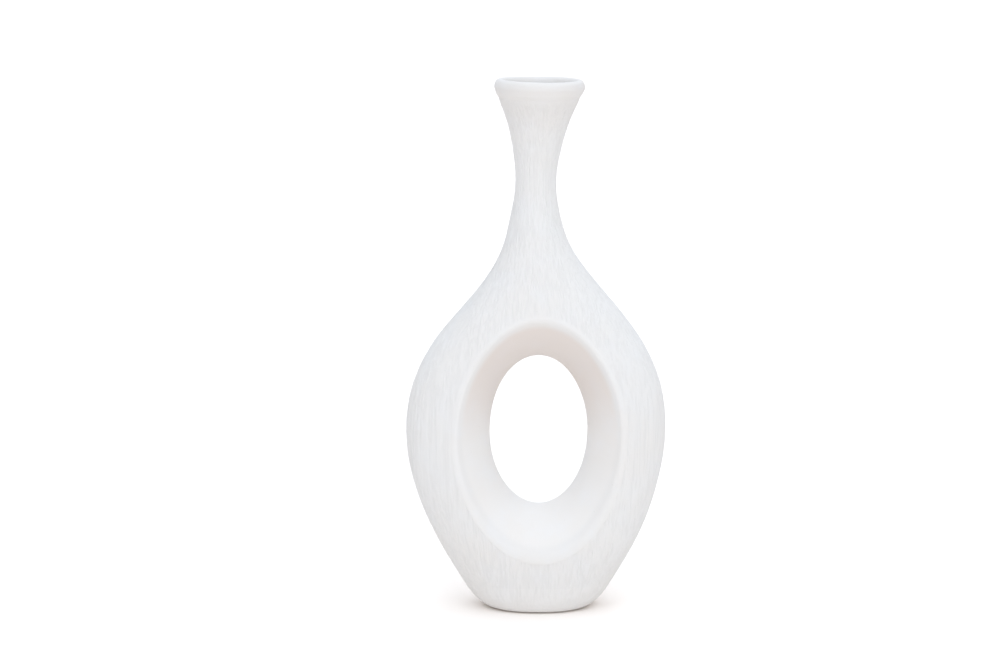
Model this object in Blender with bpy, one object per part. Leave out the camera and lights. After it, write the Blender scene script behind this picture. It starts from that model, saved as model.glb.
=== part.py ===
"""Ceramic bud vase: a slim flared neck on a flattened oval body, with an oval tunnel right through it.

Run it with blender --background --python part.py, or from Blender's text editor. Units are metres, +Z
is up, the front faces -Y, and the origin is under the middle of the vase, on the surface it stands on.
The vase is made of six clay sections, and it stands on four felt pads.
"""

import math

import bmesh
import bpy
import numpy as np

MM = 0.001

# Heights of the whole and of the planes where the clay sections meet
HEIGHT = 300 * MM
LIP_JOINT = 290.3 * MM
NECK_JOINT = 213 * MM
BASE_JOINT = 16 * MM
FOOT_HEIGHT = 0.8 * MM
FLOOR_HEIGHT = 7 * MM

WALL = 4 * MM
JOINT_GAP = 0.3 * MM

# Height, half width and half depth of the outer form, in millimetres. The neck is round.
FORM_STATIONS = (
    (12, 40.6, 25.5),
    (32, 52.7, 29.4),
    (62, 66, 32),
    (94, 73, 32.6),
    (126, 70.5, 31.2),
    (156, 56.7, 27.6),
    (181, 36.5, 22.8),
    (206, 19.5, 17.3),
    (224, 14, 14),
    (241, 11.4, 11.4),
    (262, 13.6, 13.6),
    (280, 18.6, 18.6),
    (290, 23, 23),
)
# The sections are superellipses, a little squarer than an ellipse on the body and round on the neck
BODY_EXPONENT = 2.2
NECK_EXPONENT = 2.0
BODY_EXPONENT_TO = 126 * MM
NECK_EXPONENT_FROM = 224 * MM

# Flat of the foot, corner that leads from it to the side, and the recess under it
FOOT_HALF = (27.5 * MM, 20 * MM)
FOOT_CORNER_TOP = 12 * MM
RECESS_HALF = (23 * MM, 15.5 * MM)
RECESS_DEPTH = 1 * MM

# Floor of the hollow and the corner above it
FLOOR_HALF = (26 * MM, 15 * MM)
FLOOR_CORNER_TOP = 18 * MM

# Tunnel: narrowest in the middle of the depth, flaring to a wide rim at each face
THROAT_HALF = (27.6 * MM, 42.9 * MM)
THROAT_HEIGHT = 102.3 * MM
FLARE = (18.2 * MM, 22.1 * MM)
FLARE_RISE = 2.3 * MM
FLARE_DEPTH = 26 * MM
FLARE_POWER = 1.5
TUNNEL_WALL = 5 * MM
TUNNEL_REACH = 38 * MM

# Lip: the rounded coil, turned about the axis. Its inner face is upright below the shoulder.
LIP_CREST_RADIUS = 22.2 * MM
LIP_OUTER_RADIUS = 25.1 * MM
LIP_INNER_RADIUS = 18.9 * MM
LIP_WIDEST = 295.7 * MM
LIP_SHOULDER = 295.8 * MM

# Felt pads, in the recess
PAD_RADIUS = 4 * MM
PAD_CHAMFER = 0.3 * MM
PAD_PLACE = (13 * MM, 7.5 * MM)

# Fineness of the mesh
FORM_SIDES = 56
HOLLOW_SIDES = 40
TUNNEL_SIDES = 48
LIP_SIDES = 40
PAD_SIDES = 24
SMOOTH_ANGLE = math.radians(35)


def smooth_curve(xs, ys):
    """Natural cubic spline through the points, as a function of x."""
    xs = np.array(xs, float)
    ys = np.array(ys, float)
    gaps = np.diff(xs)
    slopes = np.diff(ys) / gaps
    count = len(xs)
    system = np.eye(count)
    bends = np.zeros(count)
    for i in range(1, count - 1):
        system[i, i - 1 : i + 2] = gaps[i - 1], 2 * (gaps[i - 1] + gaps[i]), gaps[i]
        bends[i] = 6 * (slopes[i] - slopes[i - 1])
    bends = np.linalg.solve(system, bends)

    def curve(x):
        i = min(max(int(np.searchsorted(xs, x)) - 1, 0), count - 2)
        left = (x - xs[i]) / gaps[i]
        right = 1 - left
        sag = (right**3 - right) * bends[i] + (left**3 - left) * bends[i + 1]
        return float(right * ys[i] + left * ys[i + 1] + sag * gaps[i] ** 2 / 6)

    return curve


STATION_HEIGHTS = [station[0] * MM for station in FORM_STATIONS]
half_width = smooth_curve(STATION_HEIGHTS, [station[1] * MM for station in FORM_STATIONS])
half_depth = smooth_curve(STATION_HEIGHTS, [station[2] * MM for station in FORM_STATIONS])


def growth(curve, height):
    """How fast a half size grows with height."""
    return (curve(height + MM / 2) - curve(height - MM / 2)) / MM


def on_corner(curve, height, bottom, top, flat):
    """Half size at a height on the elliptic corner that turns from a side, along its slope, to a flat."""
    slope = growth(curve, top)
    line = curve(top) - slope * (top - height)
    bottom_line = curve(top) - slope * (top - bottom)
    fall = (top - height) / (top - bottom)
    return line - (bottom_line - flat) * (1 - math.sqrt(max(0.0, 1 - fall * fall)))


def outer_half_sizes(height):
    """Half width and half depth of the outer form."""
    curves = half_width, half_depth
    if height >= FOOT_CORNER_TOP:
        return [curve(height) for curve in curves]
    span = height, FOOT_HEIGHT, FOOT_CORNER_TOP
    return [on_corner(curve, *span, flat) for curve, flat in zip(curves, FOOT_HALF)]


def hollow_half_sizes(height):
    """Half width and half depth of the hollow inside the walls."""
    curves = half_width, half_depth
    if height >= FLOOR_CORNER_TOP:
        return [curve(height) - WALL for curve in curves]
    span = height, FLOOR_HEIGHT, FLOOR_CORNER_TOP
    return [on_corner(curve, *span, flat + WALL) - WALL for curve, flat in zip(curves, FLOOR_HALF)]


def section_exponent(height):
    share = (height - BODY_EXPONENT_TO) / (NECK_EXPONENT_FROM - BODY_EXPONENT_TO)
    return BODY_EXPONENT + (NECK_EXPONENT - BODY_EXPONENT) * min(max(share, 0), 1)


def section(height, half_sizes, sides):
    """Points of one level superellipse round the axis."""
    power = 2 / section_exponent(height)
    points = []
    for i in range(sides):
        angle = 2 * math.pi * i / sides
        c, s = math.cos(angle), math.sin(angle)
        x = half_sizes[0] * math.copysign(abs(c) ** power, c)
        y = half_sizes[1] * math.copysign(abs(s) ** power, s)
        points.append((x, y, height))
    return points


def level_heights(bottom, corner_top, joints, top, step):
    """Heights of a form's sections: close together on the corner, then even steps between the joints."""
    corner_steps = 5
    heights = []
    for i in range(corner_steps):
        turn = math.pi / 2 * i / corner_steps
        heights.append(corner_top - (corner_top - bottom) * math.cos(turn))
    levels = [corner_top, *joints, top]
    for low, high in zip(levels, levels[1:]):
        steps = max(1, round((high - low) / step))
        heights += [low + (high - low) * i / steps for i in range(steps)]
    return heights + [top]


def new_object(name, mesh_maker, material=None):
    """Object with the mesh that mesh_maker builds, shaded smooth, in the scene's collection."""
    mesh = bpy.data.meshes.new(name)
    shape = bmesh.new()
    mesh_maker(shape)
    bmesh.ops.recalc_face_normals(shape, faces=shape.faces)
    shape.to_mesh(mesh)
    shape.free()
    mesh.shade_smooth()
    mesh.set_sharp_from_angle(angle=SMOOTH_ANGLE)
    obj = bpy.data.objects.new(name, mesh)
    bpy.context.scene.collection.objects.link(obj)
    if material:
        mesh.materials.append(material)
    return obj


def bridge(shape, rings, closed=False):
    """Quads between neighbouring rings of points. It gives the rings of vertices."""
    rows = [[shape.verts.new(point) for point in ring] for ring in rings]
    pairs = list(zip(rows, rows[1:]))
    if closed:
        pairs.append((rows[-1], rows[0]))
    for low, high in pairs:
        for i in range(len(low)):
            j = (i + 1) % len(low)
            shape.faces.new((low[i], low[j], high[j], high[i]))
    return rows


def fill_solid(shape, rings):
    """Closed solid through the rings, with a flat cap at each end."""
    rows = bridge(shape, rings)
    shape.faces.new(rows[0])
    shape.faces.new(rows[-1])


def as_cutter(obj):
    obj.hide_render = True
    obj.display_type = "WIRE"
    return obj


def form_solid(name, half_sizes, heights, sides, material=None):
    rings = [section(height, half_sizes(height), sides) for height in heights]
    return new_object(name, lambda shape: fill_solid(shape, rings), material)


def tunnel_point(depth, angle, wall):
    """Point on the tunnel's surface, or as far outside it as wall."""
    flare = abs(depth / FLARE_DEPTH) ** FLARE_POWER
    across = THROAT_HALF[0] + FLARE[0] * flare + wall
    up = THROAT_HALF[1] + FLARE[1] * flare + wall
    middle = THROAT_HEIGHT + FLARE_RISE * flare
    return across * math.cos(angle), depth, middle + up * math.sin(angle)


def tunnel_cutter(name, wall):
    """Solid that fills the tunnel from front to back, grown outwards by wall."""
    steps = 16
    depths = [TUNNEL_REACH * (2 * i / steps - 1) for i in range(steps + 1)]
    angles = [2 * math.pi * i / TUNNEL_SIDES for i in range(TUNNEL_SIDES)]
    rings = [[tunnel_point(depth, angle, wall) for angle in angles] for depth in depths]
    return as_cutter(new_object(name, lambda shape: fill_solid(shape, rings)))


def zone_cutter(name, low, high):
    """Box between two corners, which keeps one section of the form."""
    corners = [(low[0], low[1]), (high[0], low[1]), (high[0], high[1]), (low[0], high[1])]
    rings = [[(x, y, z) for x, y in corners] for z in (low[2], high[2])]
    return as_cutter(new_object(name, lambda shape: fill_solid(shape, rings)))


def cut(obj, operation, cutter):
    modifier = obj.modifiers.new(f"{operation.lower()} {cutter.name}", "BOOLEAN")
    modifier.operation = operation
    modifier.object = cutter
    modifier.solver = "EXACT"


def clay(name, colour, roughness):
    material = bpy.data.materials.new(name)
    material.use_nodes = True
    shader = material.node_tree.nodes["Principled BSDF"]
    shader.inputs["Base Color"].default_value = (*colour, 1)
    shader.inputs["Roughness"].default_value = roughness
    shader.inputs["Metallic"].default_value = 0
    return material


def lip_profile():
    """Radius and height round the lip's section: out from the joint, over the crest, down inside."""
    steps = 4
    joint = LIP_JOINT + JOINT_GAP / 2
    start = half_width(joint)
    bend_height = joint + (LIP_OUTER_RADIUS - start) / growth(half_width, joint)
    points = []
    for i in range(steps):
        t = i / steps
        radius = LIP_OUTER_RADIUS - (1 - t) ** 2 * (LIP_OUTER_RADIUS - start)
        height = (1 - t) ** 2 * joint + 2 * t * (1 - t) * bend_height + t * t * LIP_WIDEST
        points.append((radius, height))
    quarter = [math.pi / 2 * i / steps for i in range(steps)]
    for turn in quarter:
        radius = LIP_CREST_RADIUS + (LIP_OUTER_RADIUS - LIP_CREST_RADIUS) * math.cos(turn)
        points.append((radius, LIP_WIDEST + (HEIGHT - LIP_WIDEST) * math.sin(turn)))
    for turn in quarter:
        radius = LIP_CREST_RADIUS - (LIP_CREST_RADIUS - LIP_INNER_RADIUS) * math.sin(turn)
        points.append((radius, LIP_SHOULDER + (HEIGHT - LIP_SHOULDER) * math.cos(turn)))
    for i in range(steps):
        fall = i / (steps - 1)
        radius = LIP_INNER_RADIUS + (start - WALL - LIP_INNER_RADIUS) * fall * fall
        points.append((radius, LIP_SHOULDER + (joint - LIP_SHOULDER) * fall))
    return points


def make_lip_ring(material):
    def turn_profile(shape):
        rings = []
        for radius, height in lip_profile():
            angles = [2 * math.pi * i / LIP_SIDES for i in range(LIP_SIDES)]
            rings.append([(radius * math.cos(a), radius * math.sin(a), height) for a in angles])
        bridge(shape, rings, closed=True)

    return new_object("lip_ring", turn_profile, material)


def make_foot_pad(name, x, y, material):
    """Felt disc between the standing surface and the ceiling of the foot's recess."""
    top = FOOT_HEIGHT + RECESS_DEPTH - JOINT_GAP
    levels = (
        (0, PAD_RADIUS - PAD_CHAMFER),
        (PAD_CHAMFER, PAD_RADIUS),
        (top, PAD_RADIUS),
    )
    rings = []
    for height, radius in levels:
        angles = [2 * math.pi * i / PAD_SIDES for i in range(PAD_SIDES)]
        rings.append([(radius * math.cos(a), radius * math.sin(a), height) for a in angles])
    pad = new_object(name, lambda shape: fill_solid(shape, rings), material)
    pad.location = (x, y, 0)
    return pad


def clear_scene():
    for obj in list(bpy.data.objects):
        bpy.data.objects.remove(obj)


def main():
    clear_scene()
    combed_clay = clay("combed_clay", (0.86, 0.855, 0.84), 0.85)
    smooth_clay = clay("smooth_clay", (0.84, 0.83, 0.81), 0.7)
    foot_clay = clay("foot_clay", (0.82, 0.80, 0.77), 0.9)
    felt = clay("felt", (0.72, 0.70, 0.66), 1.0)

    joints = [BASE_JOINT, NECK_JOINT]
    form_top = LIP_JOINT - JOINT_GAP / 2
    outer_heights = level_heights(FOOT_HEIGHT, FOOT_CORNER_TOP, joints, form_top, 10 * MM)
    hollow_top = HEIGHT + WALL
    hollow_heights = level_heights(FLOOR_HEIGHT, FLOOR_CORNER_TOP, [], hollow_top, 12 * MM)
    hollow = as_cutter(form_solid("hollow", hollow_half_sizes, hollow_heights, HOLLOW_SIDES))
    tunnel = tunnel_cutter("tunnel", 0)
    tunnel_outside = tunnel_cutter("tunnel_outside", TUNNEL_WALL)
    shell_cutout = tunnel_cutter("shell_cutout", TUNNEL_WALL + JOINT_GAP)

    reach = 100 * MM
    half_gap = JOINT_GAP / 2
    front_zone = zone_cutter(
        "front_zone", (-reach, -reach, BASE_JOINT + half_gap), (reach, -half_gap, NECK_JOINT - half_gap)
    )
    back_zone = zone_cutter(
        "back_zone", (-reach, half_gap, BASE_JOINT + half_gap), (reach, reach, NECK_JOINT - half_gap)
    )
    base_zone = zone_cutter("base_zone", (-reach, -reach, -reach), (reach, reach, BASE_JOINT - half_gap))
    neck_zone = zone_cutter("neck_zone", (-reach, -reach, NECK_JOINT + half_gap), (reach, reach, 1))

    make_lip_ring(smooth_clay)

    neck = form_solid("neck", outer_half_sizes, outer_heights, FORM_SIDES, combed_clay)
    cut(neck, "INTERSECT", neck_zone)
    cut(neck, "DIFFERENCE", hollow)

    for name, zone in (("front_shell", front_zone), ("back_shell", back_zone)):
        shell = form_solid(name, outer_half_sizes, outer_heights, FORM_SIDES, combed_clay)
        cut(shell, "INTERSECT", zone)
        cut(shell, "DIFFERENCE", hollow)
        cut(shell, "DIFFERENCE", shell_cutout)

    ring = form_solid("tunnel_ring", outer_half_sizes, outer_heights, FORM_SIDES, smooth_clay)
    cut(ring, "INTERSECT", tunnel_outside)
    cut(ring, "DIFFERENCE", tunnel)

    base = form_solid("base", outer_half_sizes, outer_heights, FORM_SIDES, foot_clay)
    cut(base, "INTERSECT", base_zone)
    cut(base, "DIFFERENCE", hollow)
    recess_levels = (-WALL, FOOT_HEIGHT + RECESS_DEPTH)
    recess = as_cutter(form_solid("recess", lambda height: RECESS_HALF, recess_levels, HOLLOW_SIDES))
    cut(base, "DIFFERENCE", recess)

    for end, y in (("front", -PAD_PLACE[1]), ("back", PAD_PLACE[1])):
        for side, x in (("left", -PAD_PLACE[0]), ("right", PAD_PLACE[0])):
            make_foot_pad(f"foot_pad_{end}_{side}", x, y, felt)


main()
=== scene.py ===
"""Looks of the ceramic bud vase: six fired clay sections with hand-combed walls, on four felt pads.

Everything is in metres in the row frame: +Z up, the front faces -Y. The outer form repeats the design's
stations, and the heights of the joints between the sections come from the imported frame.
"""

import math

import bpy
import numpy as np
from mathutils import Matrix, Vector


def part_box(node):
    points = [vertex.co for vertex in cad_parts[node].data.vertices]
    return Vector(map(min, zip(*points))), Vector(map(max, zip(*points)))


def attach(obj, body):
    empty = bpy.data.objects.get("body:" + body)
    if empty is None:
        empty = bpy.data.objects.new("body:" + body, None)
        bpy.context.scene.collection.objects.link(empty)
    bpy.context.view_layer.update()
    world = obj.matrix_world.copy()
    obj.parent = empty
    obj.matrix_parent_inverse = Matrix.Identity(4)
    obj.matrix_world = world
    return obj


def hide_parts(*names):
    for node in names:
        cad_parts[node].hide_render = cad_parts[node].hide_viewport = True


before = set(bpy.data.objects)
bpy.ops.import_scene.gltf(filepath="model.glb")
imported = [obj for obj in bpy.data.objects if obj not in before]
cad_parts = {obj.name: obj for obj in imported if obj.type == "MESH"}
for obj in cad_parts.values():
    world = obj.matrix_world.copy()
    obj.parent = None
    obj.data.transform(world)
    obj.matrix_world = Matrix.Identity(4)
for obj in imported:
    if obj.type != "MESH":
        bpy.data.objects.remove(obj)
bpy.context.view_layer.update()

MM = 0.001
FULL_TURN = 2 * math.pi
EACH = np.newaxis

# ------------------------------------------------------------------------------------ the form

# Height, half width and half depth of the outer form, in millimetres. The neck is round.
FORM_STATIONS = (
    (12, 40.6, 25.5),
    (32, 52.7, 29.4),
    (62, 66, 32),
    (94, 73, 32.6),
    (126, 70.5, 31.2),
    (156, 56.7, 27.6),
    (181, 36.5, 22.8),
    (206, 19.5, 17.3),
    (224, 14, 14),
    (241, 11.4, 11.4),
    (262, 13.6, 13.6),
    (280, 18.6, 18.6),
    (290, 23, 23),
)
WIDEST = 94 * MM
# The sections are superellipses, a little squarer than an ellipse on the body and round on the neck
BODY_EXPONENT = 2.2
NECK_EXPONENT = 2.0
BODY_EXPONENT_TO = 126 * MM
NECK_EXPONENT_FROM = 224 * MM
WALL = 4 * MM

FOOT_HALF = (27.5 * MM, 20 * MM)
FOOT_CORNER_TOP = 12 * MM
RECESS_HALF = (23 * MM, 15.5 * MM)
RECESS_DEPTH = 1 * MM
FLOOR_HEIGHT = 7 * MM
FLOOR_HALF = (26 * MM, 15 * MM)
FLOOR_CORNER_TOP = 18 * MM

# The tunnel is narrowest in the middle of the depth and flares to a wide rim at each face
THROAT_HALF = (27.6 * MM, 42.9 * MM)
THROAT_HEIGHT = 102.3 * MM
FLARE = (18.2 * MM, 22.1 * MM)
FLARE_RISE = 2.3 * MM
FLARE_DEPTH = 26 * MM
FLARE_POWER = 1.5
TUNNEL_WALL = 5 * MM

LIP_CREST_RADIUS = 22.3 * MM
LIP_OUTER_RADIUS = 25.3 * MM
LIP_INNER_RADIUS = 18.9 * MM
LIP_WIDEST = 295.7 * MM
LIP_SHOULDER = 295.8 * MM

# Felt pads: the chamfer of their edge, how far fibres stand out at the side and sink the flats, and
# points round a pad
PAD_CHAMFER = 0.3 * MM
PAD_FUR = 0.035 * MM
PAD_SINK = 0.03 * MM
PAD_POINTS = 120


def joint_height(lower, upper):
    """Height of the plane where two CAD sections meet."""
    return (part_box(lower)[1].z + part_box(upper)[0].z) / 2


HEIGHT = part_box("lip_ring")[1].z
LIP_JOINT = joint_height("neck", "lip_ring")
NECK_JOINT = joint_height("front_shell", "neck")
BASE_JOINT = joint_height("base", "front_shell")
FOOT_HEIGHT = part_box("base")[0].z

# ------------------------------------------------------------------------------------ the hand work

# How far the hand-built form leans to the side at each height, in millimetres, then how far the tunnel
# leans in the middle and how much further at its two mouths
SIDE_LEAN = (
    (0, 0.3),
    (45, -0.3),
    (88, -1.1),
    (125, -0.5),
    (160, 0.7),
    (183, 1.2),
    (218, -1.2),
    (255, -0.9),
    (300, 0.9),
)
TUNNEL_LEAN = 0.5 * MM
MOUTH_LEAN = 0.8 * MM

# Low swells of the surface: their lengths, how high the longest are, and how many of each length
SWELL_LENGTHS = (150 * MM, 95 * MM, 60 * MM, 38 * MM)
SWELL_HEIGHT = 0.13 * MM
SWELLS_EACH = 3
SWELL_FADE_TO = 15 * MM

# Rounding of the tunnel's rim, softer at the bottom
RIM_ROUNDING = 1.6 * MM
RIM_ROUNDING_BOTTOM = 4.2 * MM
# Share of the way in by which the tunnel's wall takes its full painted light and shade
TUNNEL_LIGHT_AND_SHADE_BY = 0.12

# Combing: how deep, how wide one tooth's mark is at the widest level, how long marks are, and how much
# they draw together as the form narrows, from 0 to 1
COMB_DEPTH = 0.22 * MM
TOOTH = 0.8 * MM
MARK_LENGTH = 22 * MM
COMB_DRAW = 0.2
# How many teeth wide the marks wander, and how wide and long one bend is, in teeth and mark lengths
COMB_WANDER = 0.8
WANDER_SIZE = (6, 1.3)
# Broader strokes among the marks: their width in teeth and length in mark lengths, and their share
STROKE_SIZE = (2.3, 2)
STROKE_SHARE = 0.5
# The values of the pattern between which the surface sinks from clear to fully combed
GROOVE_BETWEEN = (-0.45, 0.75)
# How far under the lip the marks fade out, and where they are whole
COMB_FADE = (1 * MM, 4 * MM)
# Columns of the pattern across and through the depth, before it repeats
STREAK_COLUMNS = (251, 127)

# Groove where the neck runs in under the lip: how deep, and how far it reaches down and up
LIP_GROOVE = 0.4 * MM
LIP_GROOVE_REACH = (2.2 * MM, 0.9 * MM)

# Lip: how uneven the coil is, how much its left side is the higher, and how far under the top of the
# inside the glaze starts and is whole
LIP_UNEVEN = 0.25 * MM
LIP_TILT = 0.02
GLAZE_UNDER_TOP = (2 * MM, 7 * MM)

# Points along each edge of a face of the body, and rows of the grids
SIDE_POINTS = 120
TOP_POINTS = 360
BOTTOM_POINTS = 360
FACE_ROWS = 90
HOLLOW_ROWS = 8
ROUND_POINTS = 2 * TOP_POINTS
SMOOTH_ANGLE = math.radians(40)


def smooth_step(low, high, x):
    share = np.clip((x - low) / (high - low), 0, 1)
    return share * share * (3 - 2 * share)


def smooth_curve(points, column):
    """Natural cubic spline through one column of points in millimetres, for arrays of heights."""
    xs = np.array([point[0] for point in points], float) * MM
    ys = np.array([point[column] for point in points], float) * MM
    gaps = np.diff(xs)
    slopes = np.diff(ys) / gaps
    count = len(xs)
    system = np.eye(count)
    bends = np.zeros(count)
    for i in range(1, count - 1):
        system[i, i - 1 : i + 2] = gaps[i - 1], 2 * (gaps[i - 1] + gaps[i]), gaps[i]
        bends[i] = 6 * (slopes[i] - slopes[i - 1])
    bends = np.linalg.solve(system, bends)

    def curve(x):
        i = np.clip(np.searchsorted(xs, x) - 1, 0, count - 2)
        left = (x - xs[i]) / gaps[i]
        right = 1 - left
        sag = (right**3 - right) * bends[i] + (left**3 - left) * bends[i + 1]
        return right * ys[i] + left * ys[i + 1] + sag * gaps[i] ** 2 / 6

    return curve


half_width = smooth_curve(FORM_STATIONS, 1)
half_depth = smooth_curve(FORM_STATIONS, 2)
side_lean = smooth_curve(SIDE_LEAN, 1)


def half_sizes(height, corner_bottom, corner_top, flat, inset):
    """Half width and half depth at each height. Below corner_top an elliptic corner turns from the
    side, along its slope, to the edge of a flat."""
    sizes = []
    for side, flat_half in ((half_width, flat[0]), (half_depth, flat[1])):
        top = side(np.float64(corner_top))
        slope = (side(corner_top + MM / 2) - side(corner_top - MM / 2)) / MM
        line = top - slope * (corner_top - height)
        bottom_line = top - slope * (corner_top - corner_bottom)
        fall = np.clip((corner_top - height) / (corner_top - corner_bottom), 0, 1)
        corner = line - (bottom_line - flat_half - inset) * (1 - np.sqrt(1 - fall * fall))
        sizes.append(np.where(fall > 0, corner, side(np.maximum(height, corner_top))) - inset)
    return sizes


def outer_sizes(height):
    return half_sizes(height, FOOT_HEIGHT, FOOT_CORNER_TOP, FOOT_HALF, 0)


def hollow_sizes(height):
    return half_sizes(height, FLOOR_HEIGHT, FLOOR_CORNER_TOP, FLOOR_HALF, WALL)


def section_exponent(height):
    share = (height - BODY_EXPONENT_TO) / (NECK_EXPONENT_FROM - BODY_EXPONENT_TO)
    return BODY_EXPONENT + (NECK_EXPONENT - BODY_EXPONENT) * np.clip(share, 0, 1)


def level_points(sizes, turn, height):
    """Points of level superellipses. turn is 0 on the right and a quarter turn at the front."""
    power = 2 / section_exponent(height)
    c, s = np.cos(turn), np.sin(turn)
    x = sizes[0] * np.sign(c) * np.abs(c) ** power + side_lean(height)
    y = -sizes[1] * np.sign(s) * np.abs(s) ** power
    return np.stack(np.broadcast_arrays(x, y, height), axis=-1)


def outer_normals(turn, height):
    """Unit normals of the outer form, before any hand work."""
    step = 0.5 * MM
    sizes = outer_sizes(height)
    growth = [
        (high - low) / (2 * step)
        for high, low in zip(outer_sizes(height + step), outer_sizes(height - step))
    ]
    power = 2 * (1 - 1 / section_exponent(height))
    c, s = np.cos(turn), np.sin(turn)
    x = np.sign(c) * np.abs(c) ** power / sizes[0]
    y = -np.sign(s) * np.abs(s) ** power / sizes[1]
    z = -(c * c * growth[0] / sizes[0] + s * s * growth[1] / sizes[1])
    normals = np.stack(np.broadcast_arrays(x, y, z), axis=-1)
    return normals / np.linalg.norm(normals, axis=-1, keepdims=True)


def tunnel_sizes(depth):
    """Half width, half height, and middle's place and height, of the tunnel at a depth."""
    flare = np.abs(depth / FLARE_DEPTH) ** FLARE_POWER
    return (
        THROAT_HALF[0] + FLARE[0] * flare,
        THROAT_HALF[1] + FLARE[1] * flare,
        TUNNEL_LEAN + MOUTH_LEAN * flare,
        THROAT_HEIGHT + FLARE_RISE * flare,
    )


def tunnel_points(depth, angle, wall=0.0):
    across, up, lean, middle = tunnel_sizes(depth)
    x = lean + (across + wall) * np.cos(angle)
    z = middle + (up + wall) * np.sin(angle)
    return np.stack(np.broadcast_arrays(x, depth, z), axis=-1)


def tunnel_place(points, wall):
    """Place of points across and up the tunnel grown by wall, as shares of its half sizes."""
    across, up, lean, middle = tunnel_sizes(points[..., 1])
    return (points[..., 0] - lean) / (across + wall), (points[..., 2] - middle) / (up + wall)


def tunnel_angle(points, wall=0.0):
    """Angle round the tunnel of points on its surface, or on the surface grown by wall."""
    x, z = tunnel_place(points, wall)
    return np.arctan2(z, x)


# ------------------------------------------------------------------------------------ the surface


def swelled(points):
    """The points with the slight unevenness of hand-built walls, the same on every section."""
    rng = np.random.default_rng(7)
    moved = np.zeros_like(points)
    for length in SWELL_LENGTHS:
        for _ in range(SWELLS_EACH):
            direction = rng.normal(size=3)
            direction /= np.linalg.norm(direction)
            push = rng.normal(size=3)
            push /= np.linalg.norm(push)
            phase = rng.uniform(0, FULL_TURN)
            wave = np.sin(FULL_TURN * (points @ direction) / length + phase)
            moved += wave[..., EACH] * push * (length / SWELL_LENGTHS[0]) ** 0.8
    fade = smooth_step(0, SWELL_FADE_TO, points[..., 2])
    return points + moved * (SWELL_HEIGHT * fade)[..., EACH]


def girth(height):
    """Length round the form at a height."""
    across, deep = outer_sizes(height)
    return math.pi * (3 * (across + deep) - np.sqrt((3 * across + deep) * (across + 3 * deep)))


def grain_place(turn, height):
    """Place in the upright grain of the clay: across, through the depth, and up."""
    points = level_points(outer_sizes(height), turn, height)
    drawn = (girth(np.float64(WIDEST)) / girth(height)) ** COMB_DRAW
    return points * np.stack(np.broadcast_arrays(drawn, drawn, 1.0), axis=-1)


def streaks(place, width, length, seed):
    """Noise from -1 to 1 in upright streaks of a width and a length."""
    rng = np.random.default_rng(seed)
    values = rng.uniform(-1, 1, (*STREAK_COLUMNS, int(HEIGHT / length) + 4))
    starts = rng.uniform(0, 1, STREAK_COLUMNS)
    cell = np.floor(place[..., :2] / width).astype(int)
    share = smooth_step(0, 1, place[..., :2] / width - cell)

    def along(across, through):
        """Values up the columns that stand a number of cells across and through the depth."""
        column = tuple(
            np.mod(cell[..., axis] + move, STREAK_COLUMNS[axis])
            for axis, move in enumerate((across, through))
        )
        up = place[..., 2] / length + starts[column] + 1
        row = np.floor(up).astype(int)
        blend = smooth_step(0, 1, up - row)
        return values[(*column, row)] * (1 - blend) + values[(*column, row + 1)] * blend

    front, back = ((1 - share[..., 0]) * along(0, k) + share[..., 0] * along(1, k) for k in (0, 1))
    return front * (1 - share[..., 1]) + back * share[..., 1]


def combing(turn, height):
    """Marks left by the comb, from about 0 to 1, deepest in the grooves."""
    place = grain_place(turn, height)
    bend_width, bend_length = WANDER_SIZE[0] * TOOTH, WANDER_SIZE[1] * MARK_LENGTH
    for axis, seed in ((0, 5), (1, 6)):
        place[..., axis] += COMB_WANDER * TOOTH * streaks(place, bend_width, bend_length, seed)
    teeth = streaks(place, TOOTH, MARK_LENGTH, seed=20)
    strokes = streaks(place, STROKE_SIZE[0] * TOOTH, STROKE_SIZE[1] * MARK_LENGTH, seed=21)
    marks = smooth_step(*GROOVE_BETWEEN, teeth + STROKE_SHARE * strokes)
    foot = smooth_step(FOOT_HEIGHT + 1 * MM, FOOT_CORNER_TOP, height)
    lip = smooth_step(LIP_JOINT - COMB_FADE[0], LIP_JOINT - COMB_FADE[1], height)
    return marks * foot * lip


def lip_groove(height):
    """How far the surface is drawn in, at each height, just under the lip."""
    away = height - LIP_JOINT
    return LIP_GROOVE * np.exp(-((away / np.where(away < 0, *LIP_GROOVE_REACH)) ** 2))


def band(points, turn, height, glazed=0.0, groove=0.0, tunnel_light_and_shade=0.0):
    """Rows of points with what the clay's materials read: place in the grain, and shares of glaze, of
    comb marks and of the painted light and shade on the tunnel's wall."""
    shape = points.shape[:-1]
    shares = {"glazed": glazed, "groove": groove, "tunnel_light_and_shade": tunnel_light_and_shade}
    return {
        "points": points,
        "grain": grain_place(np.broadcast_to(turn, shape), np.broadcast_to(height, shape)),
        **{key: np.broadcast_to(value, shape) for key, value in shares.items()},
    }


def combed_band(turn, height, strength=1.0):
    """Rows of the outer surface, with the comb marks and the groove under the lip sunk into it."""
    turn, height = np.broadcast_arrays(turn, height)
    marks = combing(turn, height) * strength
    points = level_points(outer_sizes(height), turn, height)
    sunk = COMB_DEPTH * marks + lip_groove(height)
    return band(points - sunk[..., EACH] * outer_normals(turn, height), turn, height, groove=marks)


def hollow_band(turn, height):
    """Rows of the glazed surface of the hollow."""
    turn, height = np.broadcast_arrays(turn, height)
    return band(level_points(hollow_sizes(height), turn, height), turn, height, glazed=1)


def joined(*bands):
    return {key: np.concatenate([one[key] for one in bands]) for key in bands[0]}


# ------------------------------------------------------------------------------------ meshes


def signed_volume(vertices, triangles):
    """Six times the volume inside the triangles, negative where they face inwards."""
    a, b, c = vertices[triangles].transpose(1, 0, 2)
    return float(np.einsum("ij,ij->i", a, np.cross(b, c)).sum())


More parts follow.
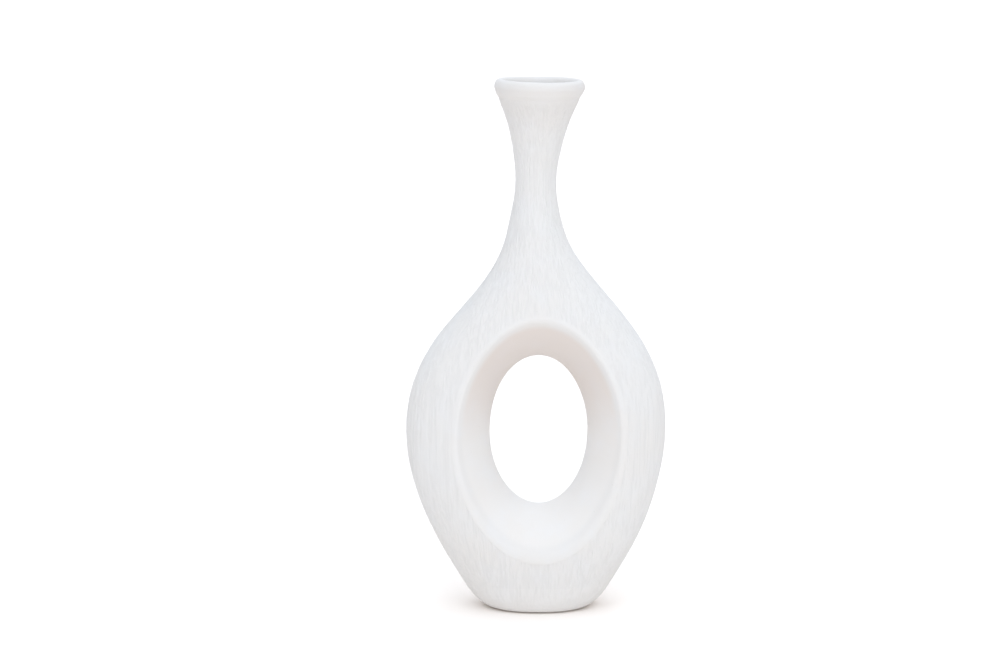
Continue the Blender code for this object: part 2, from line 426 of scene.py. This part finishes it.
def grid_faces(rows, columns, closed):
    """Quads between neighbouring rows, which each run all the way round."""
    index = np.arange(rows * columns).reshape(rows, columns)
    low = index if closed else index[:-1]
    high = np.roll(index, -1, axis=0) if closed else index[1:]
    return np.stack([low, np.roll(low, -1, 1), np.roll(high, -1, 1), high], axis=-1).reshape(-1, 4)


def cap_faces(rows, columns):
    """Triangles from the first and the last row to two middle points that follow the grid's points."""
    first, last = np.arange(columns), np.arange(columns) + (rows - 1) * columns
    middles = [np.full(columns, rows * columns + end) for end in (0, 1)]
    start = np.stack([np.roll(first, -1), first, middles[0]], axis=-1)
    stop = np.stack([last, np.roll(last, -1), middles[1]], axis=-1)
    return np.concatenate([start, stop])


def with_middles(values, columns, average):
    """The values of all rows, then those of the two middle points that close the first and last row."""
    ends = values[:columns], values[-columns:]
    return np.vstack([values, *(end.mean(axis=0) if average else end[0] for end in ends)])


def mesh_of(name, points, faces, caps):
    """Mesh of quads and then triangles."""
    mesh = bpy.data.meshes.new(name)
    mesh.vertices.add(len(points))
    mesh.vertices.foreach_set("co", points.astype(np.float32).ravel())
    corners = np.concatenate([faces.ravel(), caps.ravel()]).astype(np.int32)
    mesh.loops.add(len(corners))
    mesh.loops.foreach_set("vertex_index", corners)
    sizes = np.repeat([4, 3], [len(faces), len(caps)])
    mesh.polygons.add(len(sizes))
    mesh.polygons.foreach_set("loop_start", (np.cumsum(sizes) - sizes).astype(np.int32))
    mesh.update(calc_edges=True)
    if mesh.validate(verbose=True):
        raise ValueError(f"{name} had faults in its mesh")
    return mesh


def store(mesh, key, values):
    """Keeps one number or one vector for each point of the mesh, for its material to read."""
    kind, field = ("FLOAT_VECTOR", "vector") if values.shape[1] == 3 else ("FLOAT", "value")
    attribute = mesh.attributes.new(key, kind, "POINT")
    attribute.data.foreach_set(field, values.astype(np.float32).ravel())


def new_piece(name, skin, material, closed=True):
    """Closed mesh from rows of points. Rows join last to first, or else each end closes to a point."""
    rows, columns = skin["points"].shape[:2]
    faces, caps = grid_faces(rows, columns, closed), np.empty((0, 3), int)
    flat = {key: value.reshape(rows * columns, -1).astype(float) for key, value in skin.items()}
    if not closed:
        caps = cap_faces(rows, columns)
        flat = {key: with_middles(value, columns, key == "points") for key, value in flat.items()}
    points = flat.pop("points")
    triangles = np.concatenate([faces[:, [0, 1, 2]], faces[:, [0, 2, 3]], caps])
    if signed_volume(points, triangles) < 0:
        faces, caps = faces[:, ::-1], caps[:, ::-1]
    mesh = mesh_of(name, points, faces, caps)
    for key, values in flat.items():
        store(mesh, key, values)
    mesh.shade_smooth()
    mesh.set_sharp_from_angle(angle=SMOOTH_ANGLE)
    mesh.materials.append(material)
    obj = bpy.data.objects.new(name, mesh)
    bpy.context.scene.collection.objects.link(obj)
    return obj


def clay_piece(name, skin, material, closed=True):
    """Piece of clay, which shares the slow swells of the whole vase."""
    skin["points"] = swelled(skin["points"])
    return new_piece(name, skin, material, closed)


# ------------------------------------------------------------------------------------ body and tunnel

# Each face of the body is a rectangle of turn by height, with the tunnel's rim as a hole in it. Lines
# run from the middle of the hole to the rectangle's edge. OUTLINE holds where each line ends, as
# (sideways, upwards) from -1 to 1, going round from the bottom right corner.


def outline_places():
    up = 2 * np.arange(SIDE_POINTS) / SIDE_POINTS - 1
    left = 1 - 2 * np.arange(TOP_POINTS) / TOP_POINTS
    right = 2 * np.arange(BOTTOM_POINTS) / BOTTOM_POINTS - 1
    edges = [
        (np.ones_like(up), up),
        (left, np.ones_like(left)),
        (-np.ones_like(up), -up),
        (right, -np.ones_like(right)),
    ]
    return np.concatenate([np.stack(edge, axis=-1) for edge in edges])


OUTLINE = outline_places()


def face_place(reach, side=1):
    """Turn and height at a share of the way out along every line. side is 1 in front, -1 behind."""
    sideways, upwards = reach * OUTLINE[:, 0], reach * OUTLINE[:, 1]
    turn = side * math.pi / 2 * (1 - sideways)
    span = np.where(upwards > 0, NECK_JOINT - THROAT_HEIGHT, THROAT_HEIGHT - BASE_JOINT)
    return turn, THROAT_HEIGHT + upwards * span


def on_face(reach, side=1):
    """Points of the outer form at a share of the way out along every line."""
    turn, height = face_place(reach, side)
    return level_points(outer_sizes(height), turn, height)


def reach_of_tunnel(sizes, wall):
    """Share of the way out at which each line leaves the tunnel grown by wall."""
    halvings = 44
    low = np.full(len(OUTLINE), 0.05)
    high = np.full(len(OUTLINE), 0.98)
    for _ in range(halvings):
        reach = (low + high) / 2
        turn, height = face_place(reach)
        points = level_points(sizes(height), turn, height)
        x, z = tunnel_place(points, wall)
        inside = x * x + z * z < 1
        low, high = np.where(inside, reach, low), np.where(inside, high, reach)
    return (low + high) / 2


CREASE = reach_of_tunnel(outer_sizes, 0)
SEAM = reach_of_tunnel(outer_sizes, TUNNEL_WALL)
HOLLOW_SEAM = reach_of_tunnel(hollow_sizes, TUNNEL_WALL)
EDGE = np.ones(len(OUTLINE))


def spread(start, stop, rows):
    """Rows that go evenly from start to stop, both included."""
    return start + (stop - start) * np.linspace(0, 1, rows)[:, EACH]


def body_shell(name, side, material):
    """Front or back half of the body: its combed face, and the hollow's wall behind it."""
    outer = combed_band(*face_place(spread(SEAM, EDGE, FACE_ROWS), side))
    hollow = hollow_band(*face_place(spread(EDGE, HOLLOW_SEAM, HOLLOW_ROWS), side))
    return clay_piece(name, joined(outer, hollow), material)


def tunnel_side(side):
    """Rows from the seam on one face, round the rounded rim, to the middle of the tunnel."""
    strip_rows, bend_rows, wall_rows = 12, 12, 26
    corner = on_face(CREASE, side)
    angle = tunnel_angle(corner)
    low = smooth_step(-0.2, 0.95, -np.sin(angle))
    rounding = RIM_ROUNDING + (RIM_ROUNDING_BOTTOM - RIM_ROUNDING) * low
    step = 1e-4
    per_reach = np.linalg.norm(on_face(CREASE + step, side) - corner, axis=-1) / step
    face_end = CREASE + rounding / per_reach
    deeper = tunnel_points(corner[:, 1] + side * step, angle)
    per_depth = np.linalg.norm(deeper - corner, axis=-1) / step
    wall_start = corner[:, 1] + side * rounding / per_depth

    reach = spread(SEAM, face_end, strip_rows)
    fade = smooth_step(0, 1, (reach - face_end) / (SEAM - face_end))
    strip = combed_band(*face_place(reach, side), fade)

    t = np.linspace(0, 1, bend_rows)[1:-1, EACH, EACH]
    start, stop = on_face(face_end, side), tunnel_points(wall_start, angle)
    bend = (1 - t) ** 2 * start + 2 * t * (1 - t) * corner + t**2 * stop
    wall = tunnel_points(spread(wall_start, 0 * wall_start, wall_rows), angle)
    inward = np.concatenate([np.zeros(bend_rows - 2), np.linspace(0, 1, wall_rows)])
    # Share of the painted light and shade on the tunnel's wall, growing over the first part of the way
    # in
    tunnel_light_and_shade = smooth_step(0, TUNNEL_LIGHT_AND_SHADE_BY, inward)[:, EACH]
    return joined(strip, band(np.concatenate([bend, wall]), *face_place(face_end, side), tunnel_light_and_shade=tunnel_light_and_shade))


def tunnel_ring(name, material):
    """Smooth double funnel with its two rounded rims, and the hidden wall outside it."""
    hidden_rows = 9
    front = tunnel_side(1)
    back = {key: value[-2::-1] for key, value in tunnel_side(-1).items()}
    seam = on_face(SEAM)
    depth = spread(-seam[:, 1], seam[:, 1], hidden_rows)[1:-1]
    hidden = tunnel_points(depth, tunnel_angle(seam, TUNNEL_WALL), TUNNEL_WALL)
    return clay_piece(name, joined(front, back, band(hidden, *face_place(SEAM), glazed=1)), material)


# ------------------------------------------------------------------------------------ neck, lip, base

TURNS = np.arange(ROUND_POINTS) * FULL_TURN / ROUND_POINTS


def levels(start, stop, rows):
    """Heights of rows that go evenly from start to stop, both included."""
    return np.linspace(start, stop, rows)[:, EACH]


def neck_piece(name, material):
    """Combed tube with its bore, open at both ends to the lip and the body."""
    outer_rows, hollow_rows = 104, 26
    outer = combed_band(TURNS, levels(NECK_JOINT, LIP_JOINT, outer_rows))
    hollow = hollow_band(TURNS, levels(LIP_JOINT, NECK_JOINT, hollow_rows))
    return clay_piece(name, joined(outer, hollow), material)


def uneven(turns, seed, most_waves):
    """Slow unevenness round a ring, from about -1 to 1."""
    rng = np.random.default_rng(seed)
    total = np.zeros_like(turns)
    for waves in range(1, most_waves + 1):
        total += np.sin(waves * turns + rng.uniform(0, FULL_TURN)) * rng.uniform(0.3, 1) / waves**0.7
    return total / 2


def neck_end():
    """Radius of the neck where it meets the lip, and how fast it grows there with height."""
    step = 0.5 * MM
    low, high = (float(half_width(np.float64(LIP_JOINT + move))) for move in (-step, 0))
    return high, (high - low) / step


def lip_piece(name, material):
    """Rounded coil on top of the neck, a little uneven as a hand-rolled coil is."""
    under_rows, outside_rows, crest_rows, inside_rows = 14, 14, 14, 12
    joint_radius, joint_growth = neck_end()
    rise = LIP_WIDEST - LIP_JOINT
    t = np.linspace(0, 1, under_rows, endpoint=False)
    bulge = (1 - t) ** 2 * joint_radius + 2 * t * (1 - t) * LIP_OUTER_RADIUS + t * t * LIP_OUTER_RADIUS
    outside = math.pi / 2 * np.linspace(0, 1, outside_rows, endpoint=False)
    crest = math.pi / 2 * np.linspace(0, 1, crest_rows, endpoint=False)
    fall = np.linspace(0, 1, inside_rows)
    # Inside, the coil's wall runs smoothly into the slope of the neck's
    inward = (joint_radius - WALL - LIP_INNER_RADIUS) * smooth_step(0, 1, fall)
    undercut = joint_growth * (LIP_SHOULDER - LIP_JOINT) * fall * fall * (1 - fall)
    radius = np.concatenate(
        [
            bulge,
            LIP_CREST_RADIUS + (LIP_OUTER_RADIUS - LIP_CREST_RADIUS) * np.cos(outside),
            LIP_CREST_RADIUS - (LIP_CREST_RADIUS - LIP_INNER_RADIUS) * np.sin(crest),
            LIP_INNER_RADIUS + inward + undercut,
        ]
    )[:, EACH]
    # Share of the rise by which the neck's slope, carried on, would reach the lip's widest radius
    corner = (LIP_OUTER_RADIUS - joint_radius) / joint_growth / rise
    height = np.concatenate(
        [
            LIP_JOINT + rise * (2 * t * (1 - t) * min(corner, 1) + t * t),
            LIP_WIDEST + (HEIGHT - LIP_WIDEST) * np.sin(outside),
            LIP_SHOULDER + (HEIGHT - LIP_SHOULDER) * np.cos(crest),
            LIP_SHOULDER + (LIP_JOINT - LIP_SHOULDER) * fall,
        ]
    )[:, EACH]
    free = smooth_step(LIP_JOINT, LIP_WIDEST, height)
    outer = np.arange(len(radius))[:, EACH] < under_rows + outside_rows
    radius = radius + LIP_UNEVEN * uneven(TURNS, 31, 7) * free - lip_groove(height) * outer
    height = height + (LIP_UNEVEN * uneven(TURNS, 32, 5) - LIP_TILT * radius * np.cos(TURNS)) * free
    x, y = radius * np.cos(TURNS) + side_lean(height), -radius * np.sin(TURNS)
    points = np.stack(np.broadcast_arrays(x, y, height), axis=-1)
    glaze = smooth_step(HEIGHT - GLAZE_UNDER_TOP[0], HEIGHT - GLAZE_UNDER_TOP[1], height)
    skin = band(points, TURNS, height, glazed=np.where(outer, 0.0, glaze))
    return clay_piece(name, skin, material)


def base_piece(name, material):
    """Foot with a recess under it, the corner up to the body, and the floor of the hollow."""
    corner_rows, floor_rows = 22, 10
    turns = np.arange(2 * BOTTOM_POINTS) * FULL_TURN / (2 * BOTTOM_POINTS)
    edge = 0.35 * MM

    def flat_rows(half, height, shares):
        """Rows of a flat at shares of its half sizes."""
        sizes = [size * np.asarray(shares, float)[:, EACH] for size in half]
        return level_points(sizes, turns, np.full((len(shares), 1), height))

    def loop(half, grow, height):
        """One row, grown from half sizes by a distance."""
        return level_points([size + grow for size in half], turns, np.full((1, 1), height))

    ceiling = FOOT_HEIGHT + RECESS_DEPTH
    under = np.concatenate(
        [
            flat_rows(RECESS_HALF, ceiling, (0.2, 0.4, 0.6, 0.8, 0.94)),
            loop(RECESS_HALF, -edge, ceiling),
            loop(RECESS_HALF, 0, ceiling - edge),
            loop(RECESS_HALF, 0, FOOT_HEIGHT + edge),
            loop(RECESS_HALF, edge, FOOT_HEIGHT),
            loop(FOOT_HALF, -edge, FOOT_HEIGHT),
        ]
    )
    rise = math.pi / 2 * np.linspace(0, 1, corner_rows)[1:, EACH]
    corner = FOOT_CORNER_TOP - (FOOT_CORNER_TOP - FOOT_HEIGHT) * np.cos(rise)
    side = combed_band(turns, np.concatenate([corner, levels(FOOT_CORNER_TOP, BASE_JOINT, 6)[1:]]))
    fall = math.pi / 2 * np.linspace(0, 1, floor_rows)[:, EACH]
    inside = FLOOR_HEIGHT + (BASE_JOINT - FLOOR_HEIGHT) * np.cos(fall)
    hollow = hollow_band(turns, inside)
    floor = flat_rows(FLOOR_HALF, FLOOR_HEIGHT, (0.85, 0.65, 0.45, 0.25))
    skin = joined(
        band(under, turns, FOOT_HEIGHT), side, hollow, band(floor, turns, FLOOR_HEIGHT, glazed=1)
    )
    return clay_piece(name, skin, material, closed=False)


def foot_pad(name, seed, material):
    """Felt disc with a slightly furry edge, in the place of its CAD disc."""
    rng = np.random.default_rng(seed)
    low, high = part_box(name)
    radius, middle = (high.x - low.x) / 2, (low + high) / 2
    turns = np.arange(PAD_POINTS) * FULL_TURN / PAD_POINTS
    rows = [(share * (radius - PAD_CHAMFER), low.z) for share in (0.25, 0.5, 0.75, 0.9, 1)]
    rows += [(radius - PAD_CHAMFER * 0.3, low.z + PAD_CHAMFER * 0.3), (radius, low.z + PAD_CHAMFER)]
    rows += [(radius, low.z + (high.z - low.z) * share) for share in (0.35, 0.5, 0.65, 0.8, 0.93)]
    rows += [(share * radius, high.z) for share in (0.98, 0.9, 0.7, 0.45, 0.2)]
    out = np.array([row[0] for row in rows])[:, EACH] * np.ones_like(turns)
    height = np.array([row[1] for row in rows])[:, EACH] * np.ones_like(turns)
    fur = rng.normal(0, PAD_FUR, out.shape) * (out > 0.8 * radius)
    out = np.minimum(out + fur, radius)
    sink = np.abs(rng.normal(0, PAD_SINK, out.shape))
    middle_height = (low.z + high.z) / 2
    height = height + np.where(height < middle_height, sink, -sink)
    points = np.stack([middle.x + out * np.cos(turns), middle.y + out * np.sin(turns), height], axis=-1)
    return new_piece(name + "_felt", {"points": points}, material, closed=False)


# ------------------------------------------------------------------------------------ materials


class Graph:
    """Short calls that add and link nodes in one node tree."""

    def __init__(self, tree):
        self.tree = tree

    def put(self, socket, value):
        if isinstance(value, bpy.types.NodeSocket):
            self.tree.links.new(value, socket)
        else:
            socket.default_value = value

    def node(self, kind, inputs, **settings):
        node = self.tree.nodes.new(kind)
        for key, value in settings.items():
            setattr(node, key, value)
        for key, value in inputs.items():
            self.put(node.inputs[key], value)
        return node

    def math(self, operation, *values):
        return self.node("ShaderNodeMath", dict(enumerate(values)), operation=operation).outputs[0]

    def noise(self, vector, scale, detail=2.0, roughness=0.5):
        inputs = {"Vector": vector, "Scale": scale, "Detail": detail, "Roughness": roughness}
        return self.node("ShaderNodeTexNoise", inputs).outputs["Fac"]

    def remap(self, value, low, high, out_low=0.0, out_high=1.0):
        inputs = {0: value, 1: low, 2: high, 3: out_low, 4: out_high}
        return self.node("ShaderNodeMapRange", inputs, interpolation_type="SMOOTHSTEP").outputs[0]

    def mix(self, share, a, b):
        inputs = {"Factor": share, 6: a, 7: b}
        return self.node("ShaderNodeMix", inputs, data_type="RGBA").outputs[2]

    def tinted(self, share, colour, tint):
        inputs = {"Factor": share, 6: colour, 7: tint}
        node = self.node("ShaderNodeMix", inputs, data_type="RGBA", blend_type="MULTIPLY")
        return node.outputs[2]

    def blend(self, share, a, b):
        return self.node("ShaderNodeMix", {"Factor": share, 2: a, 3: b}).outputs[0]

    def stretch(self, vector, factors):
        inputs = {0: vector, 1: factors}
        return self.node("ShaderNodeVectorMath", inputs, operation="MULTIPLY").outputs[0]

    def specks(self, vector):
        """Round dots in some cells of a cell pattern, 1 in a dot and 0 between them."""
        inputs = {"Vector": vector, "Scale": SPECK_SCALE, "Randomness": 1.0}
        cells = self.node("ShaderNodeTexVoronoi", inputs, feature="F1")
        dots = self.remap(cells.outputs["Distance"], *SPECK_EDGE, 1.0, 0.0)
        value = self.node("ShaderNodeSeparateColor", {0: cells.outputs["Color"]}).outputs[0]
        return self.math("MULTIPLY", dots, self.math("GREATER_THAN", value, SPECK_ABOVE))

    def read(self, name, output):
        return self.node("ShaderNodeAttribute", {}, attribute_name=name).outputs[output]

    def bump(self, height, distance, normal=None):
        inputs = {"Height": height, "Distance": distance, "Strength": 1.0}
        if normal is not None:
            inputs["Normal"] = normal
        return self.node("ShaderNodeBump", inputs).outputs[0]


def new_material(name):
    material = bpy.data.materials.new(name)
    material.use_nodes = True
    graph = Graph(material.node_tree)
    shader = material.node_tree.nodes["Principled BSDF"]
    place = graph.node("ShaderNodeTexCoord", {}).outputs["Object"]
    return material, graph, shader, place


# Scale, detail and roughness of each noise in the clay. The lines' noise is stretched along the grain
PATCHES = (16, 3.0, 0.55)
CLOUDS = (70, 4.0, 0.6)
TOOTH_NOISE = (1500, 2.0, 0.7)
SAND = (4200, 1.0, 0.6)
LINES = (2.0, 3.0, 0.6)
LINE_STRETCH = (900, 900, 60)

# Heights of the bumps, all smaller than the mesh can hold
LINE_BUMP = 0.22 * MM
TOOTH_BUMP = 0.035 * MM
SAND_BUMP = 0.012 * MM
GLAZE_BUMP = 0.15 * MM

# Faint specks: how fine their cells are, the value above which a cell has one, its soft edge, its tint
# and its share. Painted shade darkens the combed grooves, with a tint that also marks the fine streaks
SPECK_SCALE = 190.0
SPECK_ABOVE = 0.72
SPECK_EDGE = (0.03, 0.075)
SPECK_TINT = 0.72
SPECK_SHARE = 0.35
GROOVE_SHADE_AND_STREAK_TINT = 0.93

# Painted shade: from the neck's flare upwards, and over the whole lip, the clay is drawn a little
# warmer and darker, standing in for the shade on the flare that faces down.
NECK_PAINTED_SHADE = (0.965, 0.95, 0.94, 1)
NECK_PAINTED_SHADE_BETWEEN = (262 * MM, 290 * MM)
# Painted light and shade on the tunnel's wall: lighter all over, and warmer and darker towards its top,
# standing in for the light that reaches into the tunnel and the shade on its ceiling
TUNNEL_PAINTED_LIGHT = (1.045, 1.04, 1.035, 1)
TUNNEL_PAINTED_SHADE = (0.905, 0.85, 0.82, 1)
TUNNEL_PAINTED_SHADE_BETWEEN = (90 * MM, 150 * MM)

GLAZE_TINT = (0.97, 0.985, 0.98)
GLAZE_ROUGHNESS = (0.2, 0.32)


def scaled(colour, factor):
    """Colour times one factor, or times one factor for each channel."""
    return (*np.multiply(colour[:3], factor), 1)


def clay(name, body, warm, cool, roughness, tooling):
    """Unglazed fired clay with fine upright tooling, which turns to a thin clear glaze inside."""
    material, graph, shader, place = new_material(name)
    grain = graph.read("grain", "Vector")
    glazed, groove, tunnel_light_and_shade = (graph.read(share, "Fac") for share in ("glazed", "groove", "tunnel_light_and_shade"))
    bare = graph.math("SUBTRACT", 1.0, glazed)
    lines = graph.noise(graph.stretch(grain, LINE_STRETCH), *LINES)
    clouds, patches = graph.noise(place, *CLOUDS), graph.noise(place, *PATCHES)
    tooth, sand = graph.noise(place, *TOOTH_NOISE), graph.noise(place, *SAND)

    dark = scaled(body, GROOVE_SHADE_AND_STREAK_TINT)
    colour = graph.mix(graph.remap(patches, 0.35, 0.65), warm, body)
    colour = graph.mix(graph.remap(clouds, 0.4, 0.7, 0.0, 0.6), colour, cool)
    # Painted shade in the comb grooves; the same darker tone then marks the fine streaks along the
    # grain
    colour = graph.mix(graph.math("MULTIPLY", groove, 0.5), colour, dark)
    colour = graph.mix(graph.remap(lines, 0.5, 0.72, 0.0, 0.25 * tooling), colour, dark)
    height = graph.node("ShaderNodeSeparateXYZ", {0: grain}).outputs[2]
    # Painted shade on the neck's flare and the lip, and painted light and shade on the tunnel's wall
    neck_shade = graph.math("MULTIPLY", graph.remap(height, *NECK_PAINTED_SHADE_BETWEEN), bare)
    tunnel_shade = graph.math("MULTIPLY", graph.remap(height, *TUNNEL_PAINTED_SHADE_BETWEEN), tunnel_light_and_shade)
    for share, tint in ((neck_shade, NECK_PAINTED_SHADE), (tunnel_light_and_shade, TUNNEL_PAINTED_LIGHT), (tunnel_shade, TUNNEL_PAINTED_SHADE)):
        colour = graph.tinted(share, colour, tint)
    specks = graph.math("MULTIPLY", graph.specks(place), SPECK_SHARE)
    colour = graph.mix(specks, colour, scaled(warm, SPECK_TINT))
    colour = graph.mix(graph.math("MULTIPLY", glazed, 0.8), colour, scaled(body, GLAZE_TINT))
    graph.put(shader.inputs["Base Color"], colour)

    rough = graph.remap(clouds, 0.3, 0.7, roughness - 0.07, roughness + 0.06)
    rough = graph.math("ADD", rough, graph.math("MULTIPLY", groove, 0.05))
    rough = graph.math("ADD", rough, graph.remap(sand, 0.3, 0.7, -0.03, 0.03))
    smooth = graph.remap(patches, 0.3, 0.7, *GLAZE_ROUGHNESS)
    graph.put(shader.inputs["Roughness"], graph.blend(glazed, rough, smooth))
    shader.inputs["Specular IOR Level"].default_value = 0.35

    scored = graph.math("MULTIPLY", lines, graph.math("MULTIPLY", bare, tooling))
    normal = graph.bump(scored, LINE_BUMP)
    normal = graph.bump(graph.math("MULTIPLY", tooth, bare), TOOTH_BUMP, normal)
    normal = graph.bump(graph.math("MULTIPLY", sand, bare), SAND_BUMP, normal)
    normal = graph.bump(graph.math("MULTIPLY", clouds, glazed), GLAZE_BUMP, normal)
    graph.put(shader.inputs["Normal"], normal)
    return material


def felt(name):
    """Pressed wool felt, with short fibres on soft clumps."""
    material, graph, shader, place = new_material(name)
    fibres = graph.noise(place, 2600, 4.0, 0.8)
    clumps = graph.noise(place, 420, 3.0, 0.6)
    colour = graph.mix(graph.remap(fibres, 0.3, 0.7), (0.6, 0.58, 0.54, 1), (0.76, 0.74, 0.7, 1))
    colour = graph.mix(graph.remap(clumps, 0.45, 0.75, 0, 0.5), colour, (0.66, 0.63, 0.58, 1))
    graph.put(shader.inputs["Base Color"], colour)
    graph.put(shader.inputs["Roughness"], graph.remap(clumps, 0.3, 0.7, 0.9, 1.0))
    rough = graph.bump(clumps, 0.15 * MM)
    graph.put(shader.inputs["Normal"], graph.bump(fibres, 0.08 * MM, rough))
    shader.inputs["Sheen Weight"].default_value = 0.25
    return material


combed_clay = clay(
    "combed_clay_look",
    body=(0.722, 0.718, 0.71, 1),
    warm=(0.718, 0.707, 0.692, 1),
    cool=(0.72, 0.724, 0.729, 1),
    roughness=0.86,
    tooling=1.0,
)
smooth_clay = clay(
    "smooth_clay_look",
    body=(0.72, 0.714, 0.704, 1),
    warm=(0.715, 0.702, 0.686, 1),
    cool=(0.72, 0.723, 0.727, 1),
    roughness=0.78,
    tooling=0.15,
)
# The foot's clay is drawn a little lighter than the rest of the vase: painted light on the foot
foot_clay = clay(
    "foot_clay_painted_light_look",
    body=(0.732, 0.727, 0.718, 1),
    warm=(0.724, 0.713, 0.7, 1),
    cool=(0.734, 0.734, 0.734, 1),
    roughness=0.9,
    tooling=0.8,
)
pad_felt = felt("felt_look")

# ------------------------------------------------------------------------------------ the pieces

made = (
    (lip_piece("lip_coil", smooth_clay), "lip_ring", "smooth_clay"),
    (neck_piece("neck_tube", combed_clay), "neck", "combed_clay"),
    (body_shell("front_wall", 1, combed_clay), "front_shell", "combed_clay"),
    (body_shell("back_wall", -1, combed_clay), "back_shell", "combed_clay"),
    (tunnel_ring("tunnel_funnels", smooth_clay), "tunnel_ring", "smooth_clay"),
    (base_piece("foot_and_floor", foot_clay), "base", "foot_clay"),
)
pads = [f"foot_pad_{end}_{side}" for end in ("front", "back") for side in ("left", "right")]
made += tuple((foot_pad(pad, 50 + i, pad_felt), pad, "felt") for i, pad in enumerate(pads))
for piece, node, slot in made:
    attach(piece, "root")
    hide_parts(node)

# ------------------------------------------------------------------------------------ studio


FLOOR_TONES = ((0.945, 0.895, 0.85, 1), (0.96, 0.91, 0.865, 1))
FLOOR_HALF_WIDTH = 40.0

# Brightness of the room: at the horizon, and then what is added straight up, to the right, at both
# sides and in the belt, and the least anywhere
ROOM_LEVEL = 0.19
ROOM_UP = 1.53
ROOM_RIGHT = 0.1
ROOM_SIDES = -0.41
ROOM_BELT = 2.1
ROOM_LEAST = 0.1
# The belt's strength in front and behind, what is added to it behind and taken off in front, and how
# far below the horizon it starts
BELT_ENDS = 0.75
BELT_BACK = -0.27
BELT_BELOW = 0.25
# Tint of the room's light low down and high up, and the heights between which it changes
ROOM_TINTS = ((1.02, 0.99, 0.975, 1), (0.935, 0.995, 1.075, 1))
ROOM_TINT_BETWEEN = (0.1, 0.75)
WHITE = (1, 1, 1, 1)


def studio_floor():
    """Plain pale floor, which throws a little warm light up."""
    material, graph, shader, place = new_material("studio_floor")
    tone = graph.noise(place, 0.8, 2.0, 0.5)
    graph.put(shader.inputs["Base Color"], graph.mix(tone, *FLOOR_TONES))
    shader.inputs["Roughness"].default_value = 1.0
    shader.inputs["Specular IOR Level"].default_value = 0.0
    low, high = -FLOOR_HALF_WIDTH, FLOOR_HALF_WIDTH
    corners = [(low, low, 0), (high, low, 0), (high, high, 0), (low, high, 0)]
    mesh = bpy.data.meshes.new("studio_floor")
    mesh.from_pydata(corners, [], [(0, 1, 2, 3)])
    mesh.materials.append(material)
    obj = bpy.data.objects.new("studio_floor", mesh)
    bpy.context.scene.collection.objects.link(obj)


def studio_world():
    """White room, brightest and coolest above. The camera sees it plain white."""
    world = bpy.data.worlds.new("studio")
    world.use_nodes = True
    bpy.context.scene.world = world
    graph = Graph(world.node_tree)
    background = world.node_tree.nodes["Background"]
    direction = graph.node("ShaderNodeTexCoord", {}).outputs["Generated"]
    x, y, z = graph.node("ShaderNodeSeparateXYZ", {0: direction}).outputs[:3]
    ends = graph.math("MULTIPLY", y, BELT_BACK)
    ends = graph.math("MULTIPLY_ADD", graph.math("ABSOLUTE", y), BELT_ENDS, ends)
    belt = graph.math("MULTIPLY", graph.math("ADD", z, BELT_BELOW), graph.math("SUBTRACT", 1.0, z))
    level = graph.math("MULTIPLY_ADD", z, ROOM_UP, ROOM_LEVEL)
    level = graph.math("MULTIPLY_ADD", graph.math("MULTIPLY", ends, belt), ROOM_BELT, level)
    level = graph.math("MULTIPLY_ADD", x, ROOM_RIGHT, level)
    level = graph.math("MULTIPLY_ADD", graph.math("MULTIPLY", x, x), ROOM_SIDES, level)
    level = graph.math("MAXIMUM", level, ROOM_LEAST)
    tint = graph.mix(graph.remap(z, *ROOM_TINT_BETWEEN), *ROOM_TINTS)
    seen = graph.node("ShaderNodeLightPath", {}).outputs["Is Camera Ray"]
    graph.put(background.inputs["Color"], graph.mix(seen, tint, WHITE))
    graph.put(background.inputs["Strength"], graph.blend(seen, level, 1.0))


def soft_light(name, place, size, watts):
    """Square soft light that faces the middle of the vase."""
    light = bpy.data.lights.new(name, "AREA")
    light.shape = "SQUARE"
    light.size = size
    light.energy = watts
    obj = bpy.data.objects.new(name, light)
    obj.location = place
    target = Vector((0, 0, HEIGHT / 2))
    obj.rotation_mode = "QUATERNION"
    obj.rotation_quaternion = (target - obj.location).to_track_quat("-Z", "Y")
    bpy.context.scene.collection.objects.link(obj)


studio_floor()
studio_world()
soft_light("softbox_front", place=(0.3, -1.8, 2.4), size=1.6, watts=3)

# ------------------------------------------------------------------------------------ camera

CAMERA_PLACE = (-0.0212, -1.40, 0.4126)
CAMERA_PITCH = math.radians(10.32)
CAMERA_LENS = 91.13

camera_data = bpy.data.cameras.new("camera")
camera_data.sensor_width = 36
camera_data.lens = CAMERA_LENS
camera_data.clip_end = 200
camera = bpy.data.objects.new("camera", camera_data)
camera.location = CAMERA_PLACE
camera.rotation_euler = (math.pi / 2 - CAMERA_PITCH, 0, 0)
bpy.context.scene.collection.objects.link(camera)
bpy.context.scene.camera = camera
bpy.context.scene.view_settings.view_transform = "Standard"
bpy.context.scene.cycles.max_bounces = 12
bpy.context.scene.cycles.diffuse_bounces = 8
